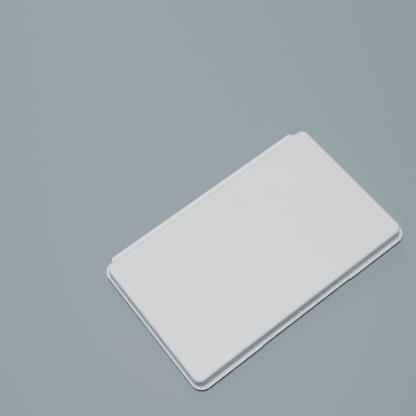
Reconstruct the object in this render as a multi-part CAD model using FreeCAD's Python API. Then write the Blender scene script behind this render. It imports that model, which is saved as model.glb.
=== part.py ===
import FreeCAD, Part
import math
import os

Vec = FreeCAD.Vector

# A slim hinged wet palette, closed. Millimetres, +Z up.
# The long side lies along X, the hinge is at +Y and the finger side at -Y.
# The origin is on the table, under the middle of the whole case.

# Overall sizes
case_width = 200.0          # over the side lips
case_depth = 124.2          # front lip to back lip
case_height = 10.95         # table to the top of the lid

# Lid moulding
side_lip_reach = 1.8        # how far the side lips stand out from the wall's foot
long_lip_reach = 3.4        # the same for the front and back lips
wall_corner_radius = 6.3    # plan radius of the corners at the wall's foot
lip_thickness = 0.9
lip_height = 1.7            # table to the underside of the lip
lid_wall = 1.1
lid_top = 1.2
lid_draft = 0.45            # how far the wall leans in from lip to top
lid_shoulder_radius = 1.85  # round between the wall and the top
lid_foot_radius = 0.8       # hollow round between the lip and the wall
mould_edge_radius = 0.25    # round on every thin moulded edge

# Finger relief in the front lip
relief_width = 81.0
relief_depth = 0.5
relief_slope = 3.0          # length of each sloped end

# Strip along the back that covers the hinges
strip_length = 177.0        # along its outer edge
strip_mitre = 2.0           # how much longer each end is at the lip
strip_reach = 2.66          # beyond the back lip
strip_thickness = 0.6       # at the outer edge
strip_fall = 0.75           # drop from the wall to the outer edge

# Hinges, two short ones under the strip
pin_radius = 0.4
pin_end_radius = 0.1
knuckle_radius = 0.85
knuckle_length = 7.0
knuckle_count = 5           # odd: the first and the last belong to the tray
hinge_height = 1.75         # table to the pin's centre
hinge_end_margin = 5.0      # end of the strip to the first knuckle
pin_stop = 1.2              # closed end of the outermost knuckle

# Tray moulding
tray_inset = 1.3            # side lip's edge to the tray's own edge
tray_floor = 1.1
foot_stand = 0.5            # how far the feet hold the tray off the table
upstand_thickness = 1.2
upstand_foot_radius = 0.6   # inside round at the foot of the upstand
grip_bead_length = 60.0     # friction bead along the front upstand
grip_bead_radius = 0.3
grip_bead_proud = 0.15
grip_bead_height = 3.6      # above the ledge

# Seal in the lid
seal_depth = 1.9
seal_width = 1.5
seal_shoulder_radius = 1.3
seal_rib_thickness = 0.8    # rib that keeps the seal in place
seal_rib_depth = 1.2

# Soft contents
sponge_thickness = 2.6
sponge_corner_radius = 2.5
paper_thickness = 0.2
paper_margin = 2.5          # sponge's edge to the paper's edge
paper_corner_radius = 3.0

# Feet
foot_radius = 5.0
foot_thickness = 0.9
foot_edge_radius = 0.2
foot_inset = 15.5           # side lip's edge to the foot's centre

# Clearances
lip_to_ledge_gap = 0.1
lid_to_upstand_gap = 0.35
knuckle_end_gap = 0.3
knuckle_swing_gap = 0.15
pin_press_gap = 0.01
pin_running_gap = 0.05
pin_end_gap = 0.1
strip_edge_overhang = 0.05  # strip's edge past the knuckles
seal_wall_gap = 0.4
seal_rib_gap = 0.05
seal_rest_gap = 0.05
sponge_side_gap = 0.2       # beyond the round at the foot of the upstand
foot_pocket_gap = 0.1
fuse_bite = 0.3             # how far joined solids run into each other

# Places that follow from the sizes
front_lip_y = -(case_depth + strip_reach) / 2
back_lip_y = front_lip_y + case_depth
rim_front_y = front_lip_y + long_lip_reach - side_lip_reach
rim_back_y = back_lip_y - long_lip_reach + side_lip_reach
rim_depth = rim_back_y - rim_front_y
rim_corner_radius = wall_corner_radius + side_lip_reach
lip_corner_radius = wall_corner_radius + (side_lip_reach + long_lip_reach) / 2
middle_y = (front_lip_y + back_lip_y) / 2
lip_top = lip_height + lip_thickness
ceiling = case_height - lid_top
ledge_top = lip_height - lip_to_ledge_gap
floor_top = foot_stand + tray_floor
sponge_top = floor_top + sponge_thickness
seal_bottom = ceiling - seal_depth
upstand_top = seal_bottom - seal_rest_gap
lid_inner_inset = side_lip_reach + lid_draft + lid_wall
upstand_inset = lid_inner_inset + lid_to_upstand_gap
upstand_inner_inset = upstand_inset + upstand_thickness
seal_inset = lid_inner_inset + seal_wall_gap
seal_rib_inset = seal_inset + seal_width + seal_rib_gap
sponge_inset = upstand_inner_inset + upstand_foot_radius + sponge_side_gap
paper_inset = sponge_inset + paper_margin
strip_edge_y = back_lip_y + strip_reach
hinge_y = strip_edge_y - strip_edge_overhang - knuckle_radius
strip_root_y = hinge_y - knuckle_radius - knuckle_swing_gap
strip_underside = hinge_height + knuckle_radius + knuckle_swing_gap
strip_edge_top = strip_underside + strip_thickness
strip_root_top = strip_edge_top + strip_fall
knuckle_pitch = knuckle_length + knuckle_end_gap
hinge_outer_x = strip_length / 2 - hinge_end_margin
hinge_inner_x = hinge_outer_x - knuckle_count * knuckle_pitch + knuckle_end_gap
corner_span_x = case_width - 2 * rim_corner_radius
corner_span_y = rim_depth - 2 * rim_corner_radius


def joined(shapes):
    return shapes[0].multiFuse(shapes[1:]).removeSplitter()


# The start, middle and end of the arc that rounds one corner of an outline
def corner_arc(before, corner, after):
    here = Vec(corner[0], corner[1], 0)
    back = (Vec(before[0], before[1], 0) - here).normalize()
    ahead = (Vec(after[0], after[1], 0) - here).normalize()
    radius = corner[2]
    if radius == 0:
        return here, here, here
    half_angle = back.getAngle(ahead) / 2
    run = radius / math.tan(half_angle)
    inward = (back + ahead).normalize()
    centre = here + inward * (radius / math.sin(half_angle))
    return here + back * run, centre - inward * radius, here + ahead * run


# A face from corners (a, z, radius), set in space by the function to_space(a, z)
def rounded_face(corners, to_space):
    count = len(corners)
    arcs = [corner_arc(corners[i - 1], corners[i], corners[(i + 1) % count]) for i in range(count)]
    edges = []
    for index in range(count):
        start, middle, end = [to_space(point.x, point.y) for point in arcs[index]]
        if corners[index][2] > 0:
            edges.append(Part.Arc(start, middle, end).toShape())
        following = arcs[(index + 1) % count][0]
        edges.append(Part.LineSegment(end, to_space(following.x, following.y)).toShape())
    return Part.Face(Part.Wire(edges))


# Section of a rim: inset from the side lip's edge, and height
def rim_space(inset, z):
    return Vec(rim_corner_radius - inset, 0, z)


# Section across the case: Y and height
def side_space(y, z):
    return Vec(0, y, z)


# The solids of a rim that runs round the case at an even inset, from its section
def rim(corners):
    section = rounded_face(corners, rim_space)
    pieces = []
    for turn, (side_x, side_y) in enumerate([(1, 1), (-1, 1), (-1, -1), (1, -1)]):
        run = corner_span_y if turn % 2 == 0 else corner_span_x
        centre = Vec(side_x * corner_span_x / 2, middle_y + side_y * corner_span_y / 2, 0)
        bend = section.revolve(Vec(0, 0, 0), Vec(0, 0, 1), 90)
        straight = section.extrude(Vec(0, -run, 0))
        for piece in (bend, straight):
            piece.rotate(Vec(0, 0, 0), Vec(0, 0, 1), 90 * turn)
            piece.translate(centre)
            pieces.append(piece)
    return pieces


# The plate between the four corner centres, which closes a rim
def core(z_low, z_high):
    start = Vec(-corner_span_x / 2, middle_y - corner_span_y / 2, z_low)
    return Part.makeBox(corner_span_x, corner_span_y, z_high - z_low, start)


# A flat pad that is set in evenly from the side lips' edge
def inset_pad(inset, corner_radius, z_low, z_high):
    start = Vec(-case_width / 2 + inset, rim_front_y + inset, z_low)
    pad = Part.makeBox(case_width - 2 * inset, rim_depth - 2 * inset, z_high - z_low, start)
    uprights = [edge for edge in pad.Edges if abs(edge.tangentAt(edge.FirstParameter).z) > 0.9]
    return pad.makeFillet(corner_radius, uprights)


def mirrored(shape):
    return shape.mirror(Vec(0, 0, 0), Vec(1, 0, 0))


# Y of the back wall's outer face at a height above the lip
def back_wall_y(z):
    lean = lid_draft * (z - lip_top) / (case_height - lip_top)
    return back_lip_y - long_lip_reach - lean


def lid_dome():
    wall_top_inset = side_lip_reach + lid_draft
    section = [
        (0, lip_height, mould_edge_radius),
        (0, lip_top, mould_edge_radius),
        (side_lip_reach, lip_top, lid_foot_radius),
        (wall_top_inset, case_height, lid_shoulder_radius),
        (rim_corner_radius, case_height, 0),
        (rim_corner_radius, ceiling, 0),
        (wall_top_inset + lid_wall, ceiling, lid_shoulder_radius - lid_top),
        (side_lip_reach + lid_wall, lip_height, mould_edge_radius),
    ]
    return joined(rim(section) + [core(ceiling, case_height)])


# The lip's own outline, wider along the front and the back than the rim's. It ends inside the wall
def lip_plate():
    start = Vec(-case_width / 2, front_lip_y, lip_height)
    plate = Part.makeBox(case_width, case_depth, lip_thickness, start)
    uprights = [edge for edge in plate.Edges if edge.BoundBox.ZLength > lip_thickness / 2]
    plate = plate.makeFillet(lip_corner_radius, uprights)
    level = [edge for edge in plate.Edges if edge.BoundBox.ZLength < lip_thickness / 2]
    plate = plate.makeFillet(mould_edge_radius, level)
    inset = side_lip_reach + lid_wall / 2
    return plate.cut(inset_pad(inset, rim_corner_radius - inset, 0, case_height))


def seal_rib():
    inner = seal_rib_inset + seal_rib_thickness
    section = [
        (seal_rib_inset, ceiling - seal_rib_depth, mould_edge_radius),
        (seal_rib_inset, ceiling + fuse_bite, 0),
        (inner, ceiling + fuse_bite, 0),
        (inner, ceiling - seal_rib_depth, mould_edge_radius),
    ]
    return joined(rim(section))


def relief_cut():
    half = relief_width / 2
    outside_y = front_lip_y - fuse_bite
    plan = [
        Vec(-half - relief_slope, outside_y, 0),
        Vec(-half - relief_slope, front_lip_y, 0),
        Vec(-half, front_lip_y + relief_depth, 0),
        Vec(half, front_lip_y + relief_depth, 0),
        Vec(half + relief_slope, front_lip_y, 0),
        Vec(half + relief_slope, outside_y, 0),
    ]
    return Part.Face(Part.makePolygon(plan + plan[:1])).extrude(Vec(0, 0, case_height))


def hinge_strip():
    hidden_y = back_wall_y(strip_root_top) - fuse_bite
    blend_top = strip_root_top + 2 * lid_foot_radius
    section = [
        (hidden_y, lip_height, 0),
        (strip_root_y, lip_height, mould_edge_radius),
        (strip_root_y, strip_underside, mould_edge_radius),
        (strip_edge_y, strip_underside, mould_edge_radius),
        (strip_edge_y, strip_edge_top, mould_edge_radius),
        (back_wall_y(strip_root_top), strip_root_top, lid_foot_radius),
        (back_wall_y(blend_top), blend_top, 0),
        (hidden_y, blend_top, 0),
    ]
    half_outer = strip_length / 2
    half_inner = half_outer + strip_mitre
    strip = rounded_face(section, side_space).extrude(Vec(2 * half_inner, 0, 0))
    strip.translate(Vec(-half_inner, 0, 0))
    plan = [
        Vec(-half_inner, hidden_y - fuse_bite, 0),
        Vec(-half_inner, back_lip_y, 0),
        Vec(-half_outer, strip_edge_y, 0),
        Vec(half_outer, strip_edge_y, 0),
        Vec(half_inner, back_lip_y, 0),
        Vec(half_inner, hidden_y - fuse_bite, 0),
    ]
    return strip.common(Part.Face(Part.makePolygon(plan + plan[:1])).extrude(Vec(0, 0, case_height)))


# Low X of each knuckle of the right-hand hinge that belongs to the tray (0) or to the lid (1)
def knuckle_starts(owner):
    return [hinge_outer_x - knuckle_length - i * knuckle_pitch for i in range(owner, knuckle_count, 2)]


def barrel(x_low):
    return Part.makeCylinder(knuckle_radius, knuckle_length, Vec(x_low, hinge_y, hinge_height), Vec(1, 0, 0))


def lid_knuckles():
    pieces = []
    for x_low in knuckle_starts(1):
        web_y = strip_root_y - fuse_bite
        web_depth = hinge_y + knuckle_radius - web_y
        web_height = strip_underside + fuse_bite - hinge_height
        web = Part.makeBox(knuckle_length, web_depth, web_height, Vec(x_low, web_y, hinge_height))
        pieces += [barrel(x_low), web]
    return pieces


def tray_knuckles():
    pieces = []
    for x_low in knuckle_starts(0):
        root_y = rim_back_y - tray_inset - 2 * mould_edge_radius
        side = [
            Vec(x_low, root_y, foot_stand),
            Vec(x_low, hinge_y, hinge_height - knuckle_radius),
            Vec(x_low, hinge_y, ledge_top),
            Vec(x_low, root_y, ledge_top),
        ]
        arm = Part.Face(Part.makePolygon(side + side[:1])).extrude(Vec(knuckle_length, 0, 0))
        pieces += [barrel(x_low), arm]
    return pieces


# Pin hole of the right-hand hinge, open at its inner end
def pin_hole(clearance):
    start = Vec(hinge_inner_x - fuse_bite, hinge_y, hinge_height)
    length = hinge_outer_x - pin_stop - start.x
    return Part.makeCylinder(pin_radius + clearance, length, start, Vec(1, 0, 0))


def lid_shell():
    right = lid_knuckles()
    moulded = [lid_dome(), lip_plate(), seal_rib(), hinge_strip()]
    solid = joined(moulded + right + [mirrored(piece) for piece in right])
    hole = pin_hole(pin_running_gap)
    return solid.cut([relief_cut(), hole, mirrored(hole)])


def grip_bead():
    y = rim_front_y + upstand_inset + grip_bead_radius - grip_bead_proud
    start = Vec(-grip_bead_length / 2, y, ledge_top + grip_bead_height)
    return Part.makeCylinder(grip_bead_radius, grip_bead_length, start, Vec(1, 0, 0))


def foot_centres():
    across = case_width / 2 - foot_inset
    along = rim_depth / 2 - foot_inset
    return {
        "foot_front_left": Vec(-across, middle_y - along, 0),
        "foot_front_right": Vec(across, middle_y - along, 0),
        "foot_rear_left": Vec(-across, middle_y + along, 0),
        "foot_rear_right": Vec(across, middle_y + along, 0),
    }


def base_tray():
    section = [
        (tray_inset, foot_stand, mould_edge_radius),
        (tray_inset, ledge_top, mould_edge_radius),
        (upstand_inset, ledge_top, mould_edge_radius),
        (upstand_inset, upstand_top, mould_edge_radius),
        (upstand_inner_inset, upstand_top, mould_edge_radius),
        (upstand_inner_inset, floor_top, upstand_foot_radius),
        (rim_corner_radius, floor_top, 0),
        (rim_corner_radius, foot_stand, 0),
    ]
    right = tray_knuckles()
    solids = rim(section) + [core(foot_stand, floor_top), grip_bead()]
    solid = joined(solids + right + [mirrored(piece) for piece in right])
    hole = pin_hole(pin_press_gap)
    pocket_radius = foot_radius + foot_pocket_gap
    centres = foot_centres().values()
    pockets = [Part.makeCylinder(pocket_radius, foot_thickness, centre) for centre in centres]
    return solid.cut([hole, mirrored(hole)] + pockets)


def hinge_pin():
    length = hinge_outer_x - pin_stop - pin_end_gap - hinge_inner_x
    pin = Part.makeCylinder(pin_radius, length, Vec(hinge_inner_x, hinge_y, hinge_height), Vec(1, 0, 0))
    rims = [edge for edge in pin.Edges if isinstance(edge.Curve, Part.Circle)]
    return pin.makeFillet(pin_end_radius, rims)


def lid_seal():
    inner = seal_inset + seal_width
    section = [
        (seal_inset, seal_bottom, mould_edge_radius),
        (seal_inset, ceiling, seal_shoulder_radius),
        (inner, ceiling, 0),
        (inner, seal_bottom, mould_edge_radius),
    ]
    return joined(rim(section))


def sponge_pad():
    return inset_pad(sponge_inset, sponge_corner_radius, floor_top, sponge_top)


def palette_paper():
    return inset_pad(paper_inset, paper_corner_radius, sponge_top, sponge_top + paper_thickness)


def foot(centre):
    disc = Part.makeCylinder(foot_radius, foot_thickness, centre)
    worn = [edge for edge in disc.Edges if edge.BoundBox.ZMax < foot_thickness / 2]
    return disc.makeFillet(foot_edge_radius, worn)


def main():
    pin = hinge_pin()
    nodes = {
        "lid_shell": lid_shell(),
        "base_tray": base_tray(),
        "lid_seal": lid_seal(),
        "sponge_pad": sponge_pad(),
        "palette_paper": palette_paper(),
        "hinge_pin_right": pin,
        "hinge_pin_left": mirrored(pin),
    }
    for name, centre in foot_centres().items():
        nodes[name] = foot(centre)
    os.makedirs("parts", exist_ok=True)
    for name, shape in nodes.items():
        shape.exportStep(f"parts/{name}.step")
        box = shape.BoundBox
        print(f"{name:18s} solids {len(shape.Solids)} valid {shape.isValid()} volume {shape.Volume:10.2f}"
              f" z {box.ZMin:.2f} to {box.ZMax:.2f}")


main()
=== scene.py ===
import math

import bmesh
import bpy
import numpy as np
from mathutils import Matrix, Vector


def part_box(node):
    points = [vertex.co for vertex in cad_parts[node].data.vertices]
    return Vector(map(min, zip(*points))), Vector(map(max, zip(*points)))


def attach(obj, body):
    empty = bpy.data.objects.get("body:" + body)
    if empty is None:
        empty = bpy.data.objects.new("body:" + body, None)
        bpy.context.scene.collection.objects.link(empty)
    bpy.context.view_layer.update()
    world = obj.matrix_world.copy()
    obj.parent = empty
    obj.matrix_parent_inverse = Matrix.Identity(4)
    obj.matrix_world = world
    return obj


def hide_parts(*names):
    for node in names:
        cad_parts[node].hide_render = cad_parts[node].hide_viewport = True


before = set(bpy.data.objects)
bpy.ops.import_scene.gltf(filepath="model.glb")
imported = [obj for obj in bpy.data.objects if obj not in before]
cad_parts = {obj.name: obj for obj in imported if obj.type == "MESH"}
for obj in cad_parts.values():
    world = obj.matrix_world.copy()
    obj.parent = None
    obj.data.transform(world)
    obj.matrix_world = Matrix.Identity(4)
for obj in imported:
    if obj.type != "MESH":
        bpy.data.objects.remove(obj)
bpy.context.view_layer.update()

mm = 0.001


class Wire:
    # one output socket of a node tree; sums on it add Math nodes
    def __init__(self, tree, socket):
        self.tree = tree
        self.socket = socket

    def node(self, kind, settings=None, inputs=None, out=0):
        made = self.tree.nodes.new(kind)
        for name, value in (settings or {}).items():
            if name == "stops":
                ramp = made.color_ramp
                while len(ramp.elements) < len(value):
                    ramp.elements.new(0.5)
                for element, (place, colour) in zip(ramp.elements, value):
                    element.position = place
                    element.color = colour
            else:
                setattr(made, name, value)
        for name, value in (inputs or {}).items():
            if isinstance(value, Wire):
                self.tree.links.new(value.socket, made.inputs[name])
            else:
                made.inputs[name].default_value = value
        return Wire(self.tree, made.outputs[out])

    def maths(self, operation, *values):
        return self.node("ShaderNodeMath", {"operation": operation}, dict(enumerate((self, *values))))

    def out(self, name):
        return Wire(self.tree, self.socket.node.outputs[name])

    def __add__(self, other):
        return self.maths("ADD", other)

    def __sub__(self, other):
        return self.maths("SUBTRACT", other)

    def __mul__(self, other):
        return self.maths("MULTIPLY", other)

    def __rsub__(self, other):
        return self.node("ShaderNodeMath", {"operation": "SUBTRACT"}, {0: other, 1: self})

    __radd__ = __add__
    __rmul__ = __mul__

    def limited(self):
        return self.node("ShaderNodeMath", {"operation": "MULTIPLY", "use_clamp": True}, {0: self, 1: 1.0})

    def band(self, low, high):
        # 0 below low, 1 above high, an even slope between
        return ((self - low) * (1.0 / (high - low))).limited()


def cornerArc(before, corner, after, steps):
    # the points that round one corner (inset, height, radius, part) of a section
    here, radius = Vector(corner[:2]), corner[2]
    if radius == 0:
        return [here]
    back = (Vector(before[:2]) - here).normalized()
    ahead = (Vector(after[:2]) - here).normalized()
    half = back.angle(ahead) / 2
    centre = here + (back + ahead).normalized() * (radius / math.sin(half))
    start = here + back * (radius / math.tan(half)) - centre
    end = here + ahead * (radius / math.tan(half)) - centre
    turn = start.angle_signed(end)
    points = []
    for i in range(steps + 1):
        spoke = start.copy()
        spoke.rotate(Matrix.Rotation(-turn * i / steps, 2))
        points.append(centre + spoke)
    return points


def sectionObject(name, corners, closed=False, steps=6, offsets=None):
    # a section as a line mesh; offsets(part, inset, height) gives each point's strip lift,
    # strip reach and share of the lip's own outline
    count = len(corners)
    points, moves = [], []
    for i, corner in enumerate(corners):
        before, after = corners[i - 1], corners[(i + 1) % count]
        part = corner[3] if len(corner) > 3 else ""
        for point in cornerArc(before, corner, after, steps):
            lift, reach, share = offsets(part, point.x, point.y) if offsets else (0.0, 0.0, 0.0)
            points.append((-point.x * mm, -point.y * mm, 0.0))
            moves.append((lift * mm, reach * mm, share))
    total = len(points)
    edges = [(i, (i + 1) % total) for i in range(total if closed else total - 1)]
    mesh = bpy.data.meshes.new(name)
    mesh.from_pydata(points, edges, [])
    for label, values in zip(("stripLift", "stripReach", "lipShare"), zip(*moves)):
        mesh.attributes.new(label, "FLOAT", "POINT").data.foreach_set("value", values)
    return bpy.data.objects.new(name, mesh)


def linked(thing):
    bpy.context.scene.collection.objects.link(thing)
    return thing


def baked(thing):
    # the evaluated result as a plain mesh
    graph = bpy.context.evaluated_depsgraph_get()
    return bpy.data.meshes.new_from_object(thing.evaluated_get(graph))


def finished(work, name):
    # what has been built, as a mesh of its own
    mesh = bpy.data.meshes.new(name)
    work.to_mesh(mesh)
    work.free()
    return mesh


def modified(source, tree, values):
    # runs a geometry tree on an object and gives back the plain mesh
    modifier = source.modifiers.new(tree.name, "NODES")
    modifier.node_group = tree
    items = tree.interface.items_tree
    sockets = {item.name: item.identifier for item in items if item.item_type == "SOCKET"}
    for name, value in values.items():
        modifier[sockets[name]] = value
    source.update_tag()
    mesh = baked(source)
    source.modifiers.remove(modifier)
    return mesh


def newTree(name, inputs):
    tree = bpy.data.node_groups.new(name, "GeometryNodeTree")
    tree.interface.new_socket("Geometry", in_out="INPUT", socket_type="NodeSocketGeometry")
    for label, kind, value in inputs:
        socket = tree.interface.new_socket(label, in_out="INPUT", socket_type=kind)
        if value is not None:
            socket.default_value = value
    tree.interface.new_socket("Geometry", in_out="OUTPUT", socket_type="NodeSocketGeometry")
    start = Wire(tree, tree.nodes.new("NodeGroupInput").outputs[0])
    return tree, start


def endTree(tree, wire, material):
    shown = wire.node("GeometryNodeRealizeInstances", inputs={"Geometry": wire})
    shown = shown.node("GeometryNodeSetMaterial", inputs={"Geometry": shown, "Material": material})
    tree.links.new(shown.socket, tree.nodes.new("NodeGroupOutput").inputs[0])


def welded(name, meshes, material, weld=0.002, sharpDegrees=32.0):
    # joins meshes into one closed, smoothly shaded piece
    work = bmesh.new()
    for mesh in meshes:
        work.from_mesh(mesh)
    bmesh.ops.remove_doubles(work, verts=work.verts, dist=weld * mm)
    bmesh.ops.dissolve_degenerate(work, dist=weld * mm, edges=work.edges)
    bmesh.ops.recalc_face_normals(work, faces=work.faces)
    for face in work.faces:
        face.smooth = True
        face.material_index = 0
    for edge in work.edges:
        edge.smooth = len(edge.link_faces) == 2 and edge.calc_face_angle() < math.radians(sharpDegrees)
    result = finished(work, name)
    result.materials.clear()
    result.materials.append(material)
    return linked(bpy.data.objects.new(name, result))


def newMaterial(name):
    material = bpy.data.materials.new(name)
    material.use_nodes = True
    tree = material.node_tree
    tree.nodes.clear()
    place = Wire(tree, tree.nodes.new("ShaderNodeTexCoord").outputs["Object"])
    return material, place


def finishMaterial(place, sockets):
    shader = place.node("ShaderNodeBsdfPrincipled", inputs=sockets)
    place.tree.links.new(shader.socket, place.tree.nodes.new("ShaderNodeOutputMaterial").inputs[0])


def grain(place, scale, detail=2.0, rough=0.5):
    inputs = {"Vector": place, "Scale": scale, "Detail": detail, "Roughness": rough}
    return place.node("ShaderNodeTexNoise", inputs=inputs)


def turned(place, degrees, stretch):
    turn = (0.0, 0.0, math.radians(degrees))
    return place.node("ShaderNodeMapping", inputs={"Vector": place, "Rotation": turn, "Scale": stretch})


def blended(amount, first, second):
    return amount.node("ShaderNodeMix", {"data_type": "RGBA"}, {0: amount, 6: first, 7: second}, out=2)


def bumped(height, distance, strength=1.0, normal=None):
    inputs = {"Height": height, "Distance": distance * mm, "Strength": strength}
    if normal is not None:
        inputs["Normal"] = normal
    return height.node("ShaderNodeBump", inputs=inputs)


casePlasticLook = {
    "white": (0.745, 0.80, 0.84, 1.0),
    "cloud": (0.715, 0.77, 0.81, 1.0),     # faint flow marks
    "strip": (0.90, 0.92, 0.935, 1.0),      # painted highlight: the hinge strip made whiter to stand for the light it catches
    "stripRough": 0.12,                     # how much smoother the strip is
    "hollow": (0.50, 0.545, 0.58, 1.0),     # painted shade on the back shoulder and wall above the strip
    "wallFrom": 6.06,                       # mm, strip's edge to the foot of the back wall
    "stripEdge": (-0.1, 0.7),               # mm behind the wall's foot, where the strip's painted highlight and smoothness fade in
    "stripTop": (4.2, 4.9),                 # mm up, where it fades out
    # mm from the wall's foot and mm up, where the painted shade fades in
    "hollowEdge": (-2.4, -1.0),
    "hollowLow": (4.6, 5.4),
    "roughLow": 0.34,
    "roughHigh": 0.46,
    "grainSize": 0.35,                      # mm, moulded texture
    "grainHeight": 0.006,
    "waveHeight": 0.05,
    "ior": 1.49,
}


def makeCasePlastic():
    look = casePlasticLook
    material, place = newMaterial("casePlastic")
    cloud = grain(place, 28.0, 3.0).band(0.35, 0.68)
    fine = grain(place, 1.0 / (look["grainSize"] * mm), 2.0)
    wave = grain(place, 45.0, 1.0)
    hairs = None
    for degrees, scale in ((24.0, 1.0), (-51.0, 1.3), (78.0, 0.8)):
        stroke = grain(turned(place, degrees, (26.0 * scale, 1500.0 * scale, 26.0)), 1.0, 1.0)
        stroke = stroke.band(0.70, 0.76)
        hairs = stroke if hairs is None else (hairs + stroke)
    patch = grain(place, 60.0, 1.0).band(0.5, 0.62)
    hairs = (hairs * patch).limited()
    y, z = (place.node("ShaderNodeSeparateXYZ", inputs={0: place}).out(axis) for axis in "YZ")
    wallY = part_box("lid_shell")[1].y - look["wallFrom"] * mm

    def fade(axis, name, start=0.0):
        low, high = look[name]
        return axis.band(start + low * mm, start + high * mm)

    # painted highlight: this mask whitens the hinge strip's colour and also makes it smoother
    strip = fade(y, "stripEdge", wallY) * (1 - fade(z, "stripTop"))
    # painted shade: this mask darkens the back shoulder and wall above the strip
    hollow = fade(y, "hollowEdge", wallY) * fade(z, "hollowLow")
    colour = blended(cloud, look["white"], look["cloud"])
    colour = blended(hollow, blended(strip, colour, look["strip"]), look["hollow"])
    wear = grain(place, 90.0, 4.0) * (look["roughHigh"] - look["roughLow"])
    rough = strip * -look["stripRough"] + look["roughLow"] + wear + hairs * 0.12
    normal = bumped(wave, look["waveHeight"], 0.5)
    normal = bumped(fine + hairs * -0.6, look["grainHeight"], 1.0, normal)
    finishMaterial(place, {
        "Base Color": colour, "Roughness": rough, "Normal": normal, "IOR": look["ior"]})
    return material


siliconeLook = {
    "grey": (0.56, 0.60, 0.62, 1.0),
    "pale": (0.64, 0.67, 0.68, 1.0),        # dusty patches
    "rough": 0.42,
    "ior": 1.41,
}


def makeSilicone():
    look = siliconeLook
    material, place = newMaterial("sealSilicone")
    dust = grain(place, 160.0, 4.0).band(0.45, 0.7)
    colour = blended(dust, look["grey"], look["pale"])
    normal = bumped(grain(place, 1800.0, 2.0), 0.006)
    rough = dust * 0.18 + look["rough"]
    finishMaterial(place, {
        "Base Color": colour, "Roughness": rough, "Normal": normal, "IOR": look["ior"]})
    return material


spongeLook = {
    "foam": (0.80, 0.70, 0.40, 1.0),
    # painted shade: the colour the pore hollows darken to
    "poreShade": (0.50, 0.40, 0.19, 1.0),
    "poreSize": 0.9,                        # mm
    "poreDepth": 0.25,
}


def makeSponge():
    look = spongeLook
    material, place = newMaterial("spongeFoam")
    coarse, small = (
        place.node("ShaderNodeTexVoronoi", {"feature": "F1"}, {
            "Vector": place, "Scale": density / (look["poreSize"] * mm)})
        for density in (1.0, 2.6)
    )
    body = (coarse.band(0.16, 0.45) * small.band(0.1, 0.4)).limited()
    damp = grain(place, 40.0, 3.0).band(0.35, 0.65)
    # painted shade in the pores: pore centres go towards the dark colour, the struts keep the foam colour;
    # the damp field varies it in patches
    shade = (body * (0.75 + damp * 0.25)).limited()
    colour = blended(shade, look["poreShade"], look["foam"])
    normal = bumped(body, look["poreDepth"], 0.8)
    finishMaterial(place, {"Base Color": colour, "Roughness": 0.86 - damp * 0.3, "Normal": normal})
    return material


paperLook = {
    "dry": (0.80, 0.79, 0.74, 1.0),
    "wet": (0.70, 0.67, 0.56, 1.0),         # where the damp sponge shows through
    "fibre": (0.86, 0.85, 0.81, 1.0),
}


def makePaper():
    look = paperLook
    material, place = newMaterial("paletteSheet")
    damp = (grain(place, 26.0, 4.0, 0.6)).band(0.38, 0.60)
    fibres = grain(turned(place, 18.0, (220.0, 1400.0, 220.0)), 1.0, 3.0).band(0.56, 0.72)
    fibres = fibres + grain(turned(place, -63.0, (220.0, 1400.0, 220.0)), 1.0, 3.0).band(0.58, 0.74)
    colour = blended(damp, look["dry"], look["wet"])
    colour = blended((fibres * 0.45).limited(), colour, look["fibre"])
    normal = bumped(grain(place, 900.0, 3.0), 0.012)
    rough = 0.62 - damp * 0.26
    finishMaterial(place, {"Base Color": colour, "Roughness": rough, "Normal": normal})
    return material


steelLook = {"steel": (0.58, 0.58, 0.59, 1.0), "worn": (0.70, 0.70, 0.71, 1.0)}


def makeSteel():
    look = steelLook
    material, place = newMaterial("drawnSteel")
    lines = grain(turned(place, 0.0, (120.0, 5000.0, 5000.0)), 1.0, 3.0)
    colour = blended(lines.band(0.4, 0.65), look["steel"], look["worn"])
    normal = bumped(lines, 0.004)
    finishMaterial(place, {
        "Base Color": colour, "Metallic": 1.0, "Roughness": 0.24 + lines * 0.18, "Normal": normal})
    return material


rubberLook = {"grey": (0.10, 0.105, 0.11, 1.0), "dusty": (0.20, 0.20, 0.20, 1.0)}


def makeRubber():
    look = rubberLook
    material, place = newMaterial("footRubber")
    dust = grain(place, 500.0, 4.0).band(0.5, 0.75)
    colour = blended(dust * 0.6, look["grey"], look["dusty"])
    normal = bumped(grain(place, 2600.0, 2.0), 0.02)
    rough = dust * 0.15 + 0.72
    finishMaterial(place, {"Base Color": colour, "Roughness": rough, "Normal": normal})
    return material


casePlastic = makeCasePlastic()
sealSilicone = makeSilicone()
spongeFoam = makeSponge()
paletteSheet = makePaper()
drawnSteel = makeSteel()
footRubber = makeRubber()
print("materials made")


lidLow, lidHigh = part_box("lid_shell")
trayLow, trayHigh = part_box("base_tray")
pinLow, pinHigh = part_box("hinge_pin_right")

outlinePlan = {
    "cornerRadius": 8.1,        # at the side lip's edge
    "cornerSteps": 18,
    "panelPitch": 7.0,
    "longReach": 1.6,           # how much further the front and back lips stand out
    "longRadius": 8.9,
    "reliefHalf": 40.5,
    "reliefSlope": 3.0,
    "reliefDepth": 0.5,
}
stripPlan = {
    "reach": 2.66,              # beyond the back lip
    "rootReach": 0.755,         # back lip to the face under the strip
    "outerHalf": 88.5,
    "mitre": 2.0,
    "rootTop": 4.1,
    "edgeTop": 3.35,
    "under": 2.75,
    "tip": 0.12,                # bevel of the lower edge
}

halfWidth = lidHigh.x
frontY = lidLow.y + outlinePlan["longReach"] * mm
backY = lidHigh.y - (stripPlan["reach"] + outlinePlan["longReach"]) * mm
middleY = (frontY + backY) / 2


def stops(low, high, extra, pitch):
    # even stops between two ends, and the extra ones
    count = max(2, round((high - low) / pitch) + 1)
    wanted = {round(v, 7) for v in extra}
    found = sorted({round(float(v), 7) for v in np.linspace(low, high, count)} | wanted)
    kept = found[:1]
    for value in found[1:]:
        if value - kept[-1] > 0.2 * mm or value in wanted or value == found[-1]:
            kept.append(value)
    return kept


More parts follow.
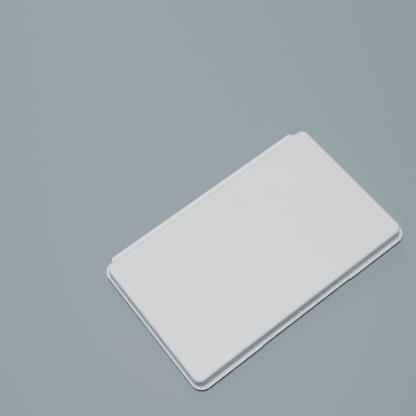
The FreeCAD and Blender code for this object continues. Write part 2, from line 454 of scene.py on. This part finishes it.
def bothEnds(half, slope):
    return [side * edge * mm for side in (-1, 1) for edge in (half, half + slope)]


def slopeShare(x, half, slope):
    # 1 inside half, 0 beyond the slope, even between
    return min(1.0, max(0.0, (half + slope - abs(x) / mm) / slope))


reliefEnds = bothEnds(outlinePlan["reliefHalf"], outlinePlan["reliefSlope"])
stripEnds = bothEnds(stripPlan["outerHalf"], stripPlan["mitre"])
coreX = halfWidth - outlinePlan["cornerRadius"] * mm
coreY = (backY - frontY) / 2 - outlinePlan["cornerRadius"] * mm
xStops = stops(-coreX, coreX, reliefEnds + stripEnds, outlinePlan["panelPitch"] * mm)
yStops = [middleY + y for y in stops(-coreY, coreY, [], outlinePlan["panelPitch"] * mm)]


def lipMove(x, y):
    # how far the lip's edge moves along Y to the wider front and back lips and the finger relief
    plan = outlinePlan
    side = -1 if y < middleY else 1
    if abs(y - middleY) < coreY - 0.001 * mm:
        return 0.0
    radius = plan["longRadius"] * mm
    over = max(0.0, abs(x) - halfWidth + radius)
    edge = middleY + side * ((backY - frontY) / 2 + plan["longReach"] * mm - radius
                             + math.sqrt(max(0.0, radius * radius - over * over)))
    relief = slopeShare(x, plan["reliefHalf"], plan["reliefSlope"]) if side < 0 else 0.0
    return edge - y + plan["reliefDepth"] * mm * relief


def stripShare(x, y):
    return slopeShare(x, stripPlan["outerHalf"], stripPlan["mitre"]) if y > middleY else 0.0


def makeOutline():
    # the side lips' edge seen from above, anticlockwise
    radius, steps = outlinePlan["cornerRadius"] * mm, outlinePlan["cornerSteps"]
    points = []

    def corner(x, y, startDegrees):
        for i in range(steps + 1):
            angle = math.radians(startDegrees + 90.0 * i / steps)
            points.append((x + radius * math.cos(angle), y + radius * math.sin(angle), 0.0))

    low, high = middleY - coreY, middleY + coreY
    corner(coreX, high, 0.0)
    points.extend((x, backY, 0.0) for x in reversed(xStops[1:-1]))
    corner(-coreX, high, 90.0)
    points.extend((-halfWidth, y, 0.0) for y in reversed(yStops[1:-1]))
    corner(-coreX, low, 180.0)
    points.extend((x, frontY, 0.0) for x in xStops[1:-1])
    corner(coreX, low, 270.0)
    points.extend((halfWidth, y, 0.0) for y in yStops[1:-1])
    mesh = bpy.data.meshes.new("caseOutline")
    mesh.from_pydata(points, [(i, (i + 1) % len(points)) for i in range(len(points))], [])
    for label, move in (("lipMove", lipMove), ("stripShare", stripShare)):
        values = [move(x, y) for x, y, _ in points]
        mesh.attributes.new(label, "FLOAT", "POINT").data.foreach_set("value", values)
    return linked(bpy.data.objects.new("caseOutline", mesh))


def makeRimTree():
    # carries a section round the outline, draws out the long lips and the hinge strip
    tree, start = newTree("sweptRim", [
        ("Section", "NodeSocketObject", None),
        ("Material", "NodeSocketMaterial", None),
        ("Weld", "NodeSocketFloat", 0.002 * mm),
    ])
    path = start.node("GeometryNodeMeshToCurve", inputs={0: start})
    path = start.node("GeometryNodeSetCurveNormal", {"mode": "Z_UP"}, {0: path})
    section = start.node("GeometryNodeObjectInfo", inputs={0: start.out("Section")}).out("Geometry")
    section = start.node("GeometryNodeMeshToCurve", inputs={0: section})
    rim = start.node("GeometryNodeCurveToMesh", inputs={"Curve": path, "Profile Curve": section})
    lift, reach, share, long, drawn = (
        start.node("GeometryNodeInputNamedAttribute", {"data_type": "FLOAT"}, {0: label})
        for label in ("stripLift", "stripReach", "lipShare", "lipMove", "stripShare")
    )
    move = start.node("ShaderNodeCombineXYZ", inputs={1: long * share + drawn * reach, 2: drawn * lift})
    rim = start.node("GeometryNodeSetPosition", inputs={"Geometry": rim, "Offset": move})
    rim = start.node("GeometryNodeMergeByDistance", inputs={"Geometry": rim, "Distance": start.out("Weld")})
    endTree(tree, rim, start.out("Material"))
    return tree


caseOutline = makeOutline()
rimTree = makeRimTree()


def sweep(section, material):
    linked(section)
    mesh = modified(caseOutline, rimTree, {"Section": section, "Material": material})
    bpy.data.objects.remove(section)
    return mesh


def panel(height):
    # the plate inside the four corner centres, on the same stops as the rim
    work = bmesh.new()
    rows = [[work.verts.new((x, y, height * mm)) for x in xStops] for y in yStops]
    for low, high in zip(rows, rows[1:]):
        for i in range(len(xStops) - 1):
            work.faces.new((low[i], low[i + 1], high[i + 1], high[i]))
    return finished(work, "panel")


hingePlan = {
    "knuckleRadius": 0.85,
    "knuckleLength": 7.0,
    "pitch": 7.3,
    "outerX": 83.5,
    "trayHole": 0.41,
    "lidHole": 0.45,
    "edge": 0.1,
    "stepDegrees": 9,
    "plugLength": 1.15,         # closed end of the outermost knuckle
    "plugBite": 0.06,           # how far it runs into the knuckle
    "plugSink": 0.03,
    "webBack": 1.1,             # the lid's neck, from the pin's centre
    "webFront": 0.8,
    "webTop": 1.15,
    "webShoulder": 0.9,
}
hingeY = (pinLow.y + pinHigh.y) / 2
hingeZ = (pinLow.z + pinHigh.z) / 2


def barrelArc(fromDegrees, toDegrees):
    # points (y, z, degrees) of a knuckle's round side, about the pin's centre
    radius = hingePlan["knuckleRadius"]
    count = round(abs(toDegrees - fromDegrees) / hingePlan["stepDegrees"])
    angles = [fromDegrees + (toDegrees - fromDegrees) * i / count for i in range(count + 1)]
    return [(radius * math.cos(math.radians(a)), radius * math.sin(math.radians(a)), a) for a in angles]


def knuckleMesh(hole, outline):
    # one knuckle and its neck from x = 0; outline holds (y, z, degrees), where degrees places the
    # matching point on the pin hole
    plan = hingePlan
    work = bmesh.new()
    length, edge = plan["knuckleLength"], plan["edge"]

    def outer(x, shrink):
        return [work.verts.new((x * mm, (y - shrink * y / math.hypot(y, z)) * mm,
                                (z - shrink * z / math.hypot(y, z)) * mm)) for y, z, _ in outline]

    def inner(x, grow):
        return [work.verts.new((x * mm, (hole + grow) * math.cos(math.radians(a)) * mm,
                                (hole + grow) * math.sin(math.radians(a)) * mm)) for _, _, a in outline]

    loops = [inner(edge, 0.0), inner(0.0, edge), outer(0.0, edge), outer(edge, 0.0),
             outer(length - edge, 0.0), outer(length, edge), inner(length, edge), inner(length - edge, 0.0)]
    for first, second in zip(loops, loops[1:] + loops[:1]):
        for i in range(len(outline)):
            j = (i + 1) % len(outline)
            work.faces.new((first[i], first[j], second[j], second[i]))
    bmesh.ops.recalc_face_normals(work, faces=work.faces)
    return finished(work, "knuckle")


def plugMesh(side):
    # closes the outer end of the outermost knuckle's hole
    plan = hingePlan
    work = bmesh.new()
    radius = (plan["trayHole"] + plan["plugBite"]) * mm
    bmesh.ops.create_cone(work, cap_ends=True, segments=24, radius1=radius, radius2=radius,
                          depth=plan["plugLength"] * mm)
    middle = plan["outerX"] - plan["plugSink"] - plan["plugLength"] / 2
    turn = Matrix.Rotation(math.pi / 2, 4, "Y")
    work.transform(Matrix.Translation((side * middle * mm, hingeY, hingeZ)) @ turn)
    return finished(work, "plug")


def makeRowTree():
    # sets copies of a knuckle along X
    tree, start = newTree("knuckleRow", [
        ("Count", "NodeSocketInt", 2),
        ("Pitch", "NodeSocketFloat", 0.01),
        ("First", "NodeSocketVector", (0.0, 0.0, 0.0)),
        ("Material", "NodeSocketMaterial", None),
    ])
    step = start.node("ShaderNodeCombineXYZ", inputs={0: start.out("Pitch")})
    line = start.node("GeometryNodeMeshLine", {"mode": "OFFSET"}, {
        "Count": start.out("Count"), "Start Location": start.out("First"), "Offset": step})
    row = start.node("GeometryNodeInstanceOnPoints", inputs={"Points": line, "Instance": start})
    endTree(tree, row, start.out("Material"))
    return tree


rowTree = makeRowTree()


def knuckleRows(owner, hole, outline):
    # both hinges' knuckles of the tray (owner 0) or of the lid (owner 1)
    plan = hingePlan
    one = linked(bpy.data.objects.new("knuckle", knuckleMesh(hole, outline)))
    count = 3 - owner
    span = (count - 1) * 2 * plan["pitch"] + plan["knuckleLength"]
    rightStart = plan["outerX"] - plan["knuckleLength"] - (owner + (count - 1) * 2) * plan["pitch"]
    rows = []
    for start in (rightStart, -rightStart - span):
        rows.append(modified(one, rowTree, {
            "Count": count, "Pitch": 2 * plan["pitch"] * mm,
            "First": (start * mm, hingeY, hingeZ), "Material": casePlastic}))
    bpy.data.objects.remove(one)
    return rows


lidPlan = {
    "lipHeight": 1.7,
    "lipThickness": 0.9,
    "lipReach": 1.8,
    "wall": 1.1,
    "top": 1.2,
    "draft": 0.45,
    "shoulder": 1.85,
    "foot": 0.8,
    "edge": 0.25,
    "support": 0.3,         # width of the flat band beside each round
    "panelSink": 0.05,      # how far the thin panel sinks at its middle
    "ribInset": 5.3,
    "ribThickness": 0.8,
    "ribDepth": 1.2,
    "ribBite": 0.3,         # how far the rib runs into the top
}


def makeLid():
    plan, strip = lidPlan, stripPlan
    top = lidHigh.z / mm
    ceiling = top - plan["top"]
    lipTop = plan["lipHeight"] + plan["lipThickness"]
    wallTop = plan["lipReach"] + plan["draft"]
    core = outlinePlan["cornerRadius"]
    innerRound = plan["shoulder"] - plan["top"]
    flatInner = plan["lipReach"] - plan["foot"]
    flatOuter = plan["edge"] + plan["support"]

    def offsets(part, inset, height):
        share = min(1.0, max(0.0, (flatInner - inset) / (flatInner - flatOuter)))
        if part == "over":
            drawn = (outlinePlan["longReach"] + strip["reach"]) * share
            whole = plan["lipReach"] + outlinePlan["longReach"] + strip["reach"]
            fall = (strip["rootTop"] - strip["edgeTop"]) * (plan["lipReach"] - inset + drawn) / whole
            return strip["rootTop"] - fall - lipTop, strip["reach"] * share, share
        if part == "under":
            return 0.0, strip["rootReach"] * share, share
        if part == "riser":
            return strip["under"] - height, strip["rootReach"], 1.0
        if part == "tipLow":
            return strip["under"] - height, strip["reach"] - strip["tip"], 1.0
        if part == "tipSide":
            return strip["under"] + strip["tip"] - height, strip["reach"], 1.0
        return 0.0, 0.0, 0.0

    edgeLow = plan["lipHeight"] + plan["edge"]
    edgeStep = (plan["lipThickness"] - 2 * plan["edge"]) / 4
    section = sectionObject("lidSection", [
        (core, ceiling, 0),
        (wallTop + plan["wall"] + innerRound + plan["support"], ceiling, 0),
        (wallTop + plan["wall"], ceiling, innerRound),
        (plan["lipReach"] + plan["wall"], plan["lipHeight"], plan["edge"]),
        (flatInner, plan["lipHeight"], 0, "under"),
        (flatOuter, plan["lipHeight"], 0, "under"),
        (0, plan["lipHeight"], plan["edge"], "under"),
        (0, edgeLow + edgeStep, 0, "riser"),
        (0, edgeLow + 2 * edgeStep, 0, "tipLow"),
        (0, edgeLow + 3 * edgeStep, 0, "tipSide"),
        (0, lipTop, plan["edge"], "over"),
        (flatOuter, lipTop, 0, "over"),
        (plan["lipReach"], lipTop, plan["foot"], "over"),
        (wallTop, top, plan["shoulder"]),
        (wallTop + plan["shoulder"] + plan["support"], top, 0),
        (core, top, 0),
    ], steps=8, offsets=offsets)
    shell = sweep(section, casePlastic)
    ribInner = plan["ribInset"] + plan["ribThickness"]
    rib = sweep(sectionObject("ribSection", [
        (plan["ribInset"], ceiling - plan["ribDepth"], plan["edge"]),
        (ribInner, ceiling - plan["ribDepth"], plan["edge"]),
        (ribInner, ceiling + plan["ribBite"], 0),
        (plan["ribInset"], ceiling + plan["ribBite"], 0),
    ], closed=True, steps=4), casePlastic)
    hinge = hingePlan
    web = barrelArc(0, -180) + [
        (-hinge["webBack"], 0.0, -195),
        (-hinge["webBack"], hinge["webTop"], -230),
        (hinge["webFront"], hinge["webTop"], -320),
        (hinge["knuckleRadius"], hinge["webShoulder"], -340),
    ]
    knuckles = knuckleRows(1, hingePlan["lidHole"], web)
    lid = welded("lidShell", [shell, panel(top), panel(ceiling), rib, *knuckles], casePlastic)
    for vertex in lid.data.vertices:
        if vertex.co.z > (ceiling - 0.01) * mm:
            u, v = vertex.co.x / coreX, (vertex.co.y - middleY) / coreY
            fade = max(0.0, 1 - u * u) * max(0.0, 1 - v * v)
            vertex.co.z -= plan["panelSink"] * mm * fade
    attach(lid, "lid")
    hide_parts("lid_shell")
    print("lid made,", len(lid.data.polygons), "faces")


trayPlan = {
    "inset": 1.3,
    "floor": 1.1,
    "ledge": 1.6,
    "upstandInset": 3.7,
    "upstandThickness": 1.2,
    "footRound": 0.6,
    "edge": 0.25,
    "support": 0.35,
    "beadHalf": 30.0,
    "beadRadius": 0.3,
    "beadProud": 0.15,
    "beadHeight": 5.2,
    "beadPoint": 0.002,     # least radius, at the bead's very ends
}


def beadMesh():
    # the friction bead along the front of the upstand, with rounded ends
    plan = trayPlan
    work = bmesh.new()
    sides, ends, rings = 16, 6, []
    y = frontY / mm + plan["upstandInset"] + plan["beadRadius"] - plan["beadProud"]
    stations = []
    for i in range(ends + 1):
        angle = math.pi / 2 * i / ends
        stations.append((plan["beadHalf"] - plan["beadRadius"] * (1 - math.sin(angle)), math.cos(angle)))
    profile = [(x, share) for x, share in reversed(stations)]
    for x, share in profile + [(-x, share) for x, share in stations]:
        radius = max(plan["beadRadius"] * share, plan["beadPoint"])
        rings.append([work.verts.new((x * mm, (y + radius * math.cos(math.tau * k / sides)) * mm,
                                      (plan["beadHeight"] + radius * math.sin(math.tau * k / sides)) * mm))
                      for k in range(sides)])
    for first, second in zip(rings, rings[1:]):
        for k in range(sides):
            work.faces.new((first[k], first[(k + 1) % sides], second[(k + 1) % sides], second[k]))
    work.faces.new(rings[0])
    work.faces.new(rings[-1])
    return finished(work, "bead")


def makeTray():
    plan = trayPlan
    bottom, top = trayLow.z / mm, trayHigh.z / mm
    floorTop = bottom + plan["floor"]
    inner = plan["upstandInset"] + plan["upstandThickness"]
    core = outlinePlan["cornerRadius"]
    section = sectionObject("traySection", [
        (core, bottom, 0),
        (plan["inset"] + plan["edge"] + plan["support"], bottom, 0),
        (plan["inset"], bottom, plan["edge"]),
        (plan["inset"], plan["ledge"], plan["edge"]),
        (plan["inset"] + plan["edge"] + plan["support"], plan["ledge"], 0),
        (plan["upstandInset"], plan["ledge"], plan["edge"]),
        (plan["upstandInset"], top, plan["edge"]),
        (inner, top, plan["edge"]),
        (inner, floorTop, plan["footRound"]),
        (inner + plan["footRound"] + plan["support"], floorTop, 0),
        (core, floorTop, 0),
    ], steps=6)
    shell = sweep(section, casePlastic)
    armBack = (backY - hingeY) / mm - plan["inset"] - 2 * plan["edge"]
    armTop = plan["ledge"] - hingeZ / mm
    armLow = bottom - hingeZ / mm
    topDegrees = 180 + math.degrees(math.asin(-armTop / hingePlan["knuckleRadius"]))
    arm = barrelArc(topDegrees, -90) + [(armBack, armLow, -117), (armBack, armTop, -143)]
    knuckles = knuckleRows(0, hingePlan["trayHole"], arm)
    pieces = [shell, panel(bottom), panel(floorTop), beadMesh(), plugMesh(1), plugMesh(-1), *knuckles]
    tray = welded("baseTray", pieces, casePlastic)
    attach(tray, "tray")
    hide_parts("base_tray")
    print("tray made,", len(tray.data.polygons), "faces")


sealPlan = {"inset": 3.75, "width": 1.5, "shoulder": 1.3, "edge": 0.25}


def makeSeal():
    plan = sealPlan
    low, high = (corner.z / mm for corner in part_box("lid_seal"))
    inner = plan["inset"] + plan["width"]
    section = sectionObject("sealSection", [
        (plan["inset"], low, plan["edge"]),
        (inner, low, plan["edge"]),
        (inner, high, 0),
        (plan["inset"], high, plan["shoulder"]),
    ], closed=True, steps=6)
    seal = welded("lidSeal", [sweep(section, sealSilicone)], sealSilicone)
    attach(seal, "lid")
    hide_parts("lid_seal")
    print("seal made")


makeLid()
makeTray()
makeSeal()
bpy.data.objects.remove(caseOutline)


def roundedSlab(low, high, corner, pitch, lower, upper):
    # a thin slab with rounded plan corners; lower(x, y) and upper(x, y) give its two faces
    work = bmesh.new()
    columns = np.linspace(low.x, high.x, round((high.x - low.x) / pitch) + 1)
    rows = np.linspace(low.y, high.y, round((high.y - low.y) / pitch) + 1)
    middle, half = (low + high) / 2, (high - low) / 2

    def drawnIn(x, y):
        # pulls a grid point inside the rounded corner, along the diagonal
        dx, dy = x - middle.x, y - middle.y
        overX, overY = abs(dx) - (half.x - corner), abs(dy) - (half.y - corner)
        if overX <= 0 or overY <= 0:
            return x, y
        reach = math.hypot(overX, overY)
        share = max(overX, overY) / reach
        overX, overY = overX * share, overY * share
        return (middle.x + math.copysign(half.x - corner + overX, dx),
                middle.y + math.copysign(half.y - corner + overY, dy))

    faces = []
    for height in (lower, upper):
        grid = []
        for y in rows:
            line = []
            for x in columns:
                px, py = drawnIn(x, y)
                line.append(work.verts.new((px, py, height(px, py))))
            grid.append(line)
        faces.append(grid)
    for grid in faces:
        for first, second in zip(grid, grid[1:]):
            for i in range(len(first) - 1):
                work.faces.new((first[i], first[i + 1], second[i + 1], second[i]))
    rims = [grid[0] + [row[-1] for row in grid[1:]] + grid[-1][-2::-1]
            + [row[0] for row in reversed(grid[1:-1])] for grid in faces]
    for i in range(len(rims[0])):
        j = (i + 1) % len(rims[0])
        work.faces.new((rims[0][i], rims[0][j], rims[1][j], rims[1][i]))
    bmesh.ops.recalc_face_normals(work, faces=work.faces)
    for face in work.faces:
        face.smooth = True
    for edge in work.edges:
        edge.smooth = edge.calc_face_angle() < math.radians(50)
    return finished(work, "slab")


spongePlan = {"corner": 2.5, "pitch": 1.1, "edgeSoftness": 0.7, "unevenness": 0.06}
paperPlan = {"corner": 3.0, "pitch": 1.6, "thickness": 0.09, "cockle": 0.035, "waveLength": 34.0}


def wave(x, y, length, seed):
    # a smooth uneven field between -1 and 1
    turn = math.tau / (length * mm)
    return (math.sin(turn * x + seed) * math.sin(turn * 0.83 * y + 1.7 * seed)
            + 0.6 * math.sin(turn * 1.9 * (x * 0.6 + y * 0.8) + 2.3 * seed)) / 1.6


def makeSpongePad():
    plan = spongePlan
    low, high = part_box("sponge_pad")
    soft = plan["edgeSoftness"] * mm

    def edgeDrop(x, y):
        # how far the cut edge rounds over
        gap = min(x - low.x, high.x - x, y - low.y, high.y - y)
        if gap >= soft:
            return 0.0
        return soft * (1 - math.sqrt(max(0.0, 1 - (1 - gap / soft) ** 2))) * 0.9

    def upper(x, y):
        return high.z - edgeDrop(x, y) - plan["unevenness"] * mm * (0.5 + 0.5 * wave(x, y, 21.0, 0.4))

    def lower(x, y):
        return low.z + edgeDrop(x, y) * 0.5

    mesh = roundedSlab(low, high, plan["corner"] * mm, plan["pitch"] * mm, lower, upper)
    mesh.materials.append(spongeFoam)
    sponge = linked(bpy.data.objects.new("spongePad", mesh))
    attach(sponge, "tray")
    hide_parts("sponge_pad")
    print("sponge made,", len(mesh.polygons), "faces")


def makePaperSheet():
    plan = paperPlan
    low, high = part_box("palette_paper")

    def lower(x, y):
        lift = plan["cockle"] * mm * (1 + wave(x, y, plan["waveLength"], 1.1))
        return low.z + 0.01 * mm + lift

    def upper(x, y):
        return lower(x, y) + plan["thickness"] * mm

    mesh = roundedSlab(low, high, plan["corner"] * mm, plan["pitch"] * mm, lower, upper)
    mesh.materials.append(paletteSheet)
    paper = linked(bpy.data.objects.new("paletteSheet", mesh))
    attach(paper, "tray")
    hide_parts("palette_paper")
    print("paper made,", len(mesh.polygons), "faces")


makeSpongePad()
makePaperSheet()


finishes = {"hinge": drawnSteel, "foot": footRubber}
for name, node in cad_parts.items():
    finish = finishes.get(name.split("_")[0])
    if finish:
        node.data.materials.clear()
        node.data.materials.append(finish)
print("pins and feet finished")


floorLook = {
    "colour": (0.128, 0.188, 0.222, 1.0),
    "size": 6.0,
}
lightPlan = {
    "world": (0.80, 0.86, 0.92, 1.0),
    "worldStrength": 0.08,
    "keyPower": 56.0,
    "keySize": 1.1,
    "keyFrom": (0.1, 0.34, 1.8),
    "backPower": 8.0,
    "backSize": 0.9,
    "backFrom": (0.45, 1.35, 1.0),
}
cameraPlan = {
    "lens": 73.56,
    "sensor": 36.0,
    "clipStart": 0.01,
    "azimuth": -30.986,     # degrees, the camera stands to the left of the front
    "elevation": 62.043,
    "roll": -7.312,
    "distance": 0.674717,
    "aim": (-0.00365, 0.05275, 0.0),
}


def makeFloor():
    material, place = newMaterial("floorPaint")
    finishMaterial(place, {"Base Color": floorLook["colour"], "Roughness": 0.6})
    half = floorLook["size"] / 2
    mesh = bpy.data.meshes.new("floor")
    corners = [(-half, -half, 0), (half, -half, 0), (half, half, 0), (-half, half, 0)]
    mesh.from_pydata(corners, [], [(0, 1, 2, 3)])
    mesh.materials.append(material)
    linked(bpy.data.objects.new("floor", mesh))


def makeLights():
    world = bpy.data.worlds.new("studio")
    world.use_nodes = True
    background = world.node_tree.nodes["Background"]
    background.inputs["Color"].default_value = lightPlan["world"]
    background.inputs["Strength"].default_value = lightPlan["worldStrength"]
    bpy.context.scene.world = world
    for name in ("key", "back"):
        lamp = bpy.data.lights.new(name, "AREA")
        lamp.shape = "DISK"
        lamp.size = lightPlan[name + "Size"]
        lamp.energy = lightPlan[name + "Power"]
        light = linked(bpy.data.objects.new(name, lamp))
        light.location = lightPlan[name + "From"]
        light.rotation_euler = (-light.location).to_track_quat("-Z", "Y").to_euler()


def makeCamera():
    plan = cameraPlan
    azimuth, elevation, roll = (math.radians(plan[name]) for name in ("azimuth", "elevation", "roll"))
    level = math.cos(elevation)
    back = Vector((math.sin(azimuth) * level, -math.cos(azimuth) * level, math.sin(elevation)))
    right = Vector((0, 0, 1)).cross(back).normalized()
    up = back.cross(right)
    tilted = right * math.cos(roll) + up * math.sin(roll)
    right, up = tilted, up * math.cos(roll) - right * math.sin(roll)
    turn = Matrix((right, up, back)).transposed().to_4x4()
    data = bpy.data.cameras.new("camera")
    data.lens = plan["lens"]
    data.sensor_width = plan["sensor"]
    data.clip_start = plan["clipStart"]
    camera = linked(bpy.data.objects.new("camera", data))
    camera.matrix_world = Matrix.Translation(Vector(plan["aim"]) + back * plan["distance"]) @ turn
    bpy.context.scene.camera = camera


makeFloor()
makeLights()
makeCamera()
print("stage made")
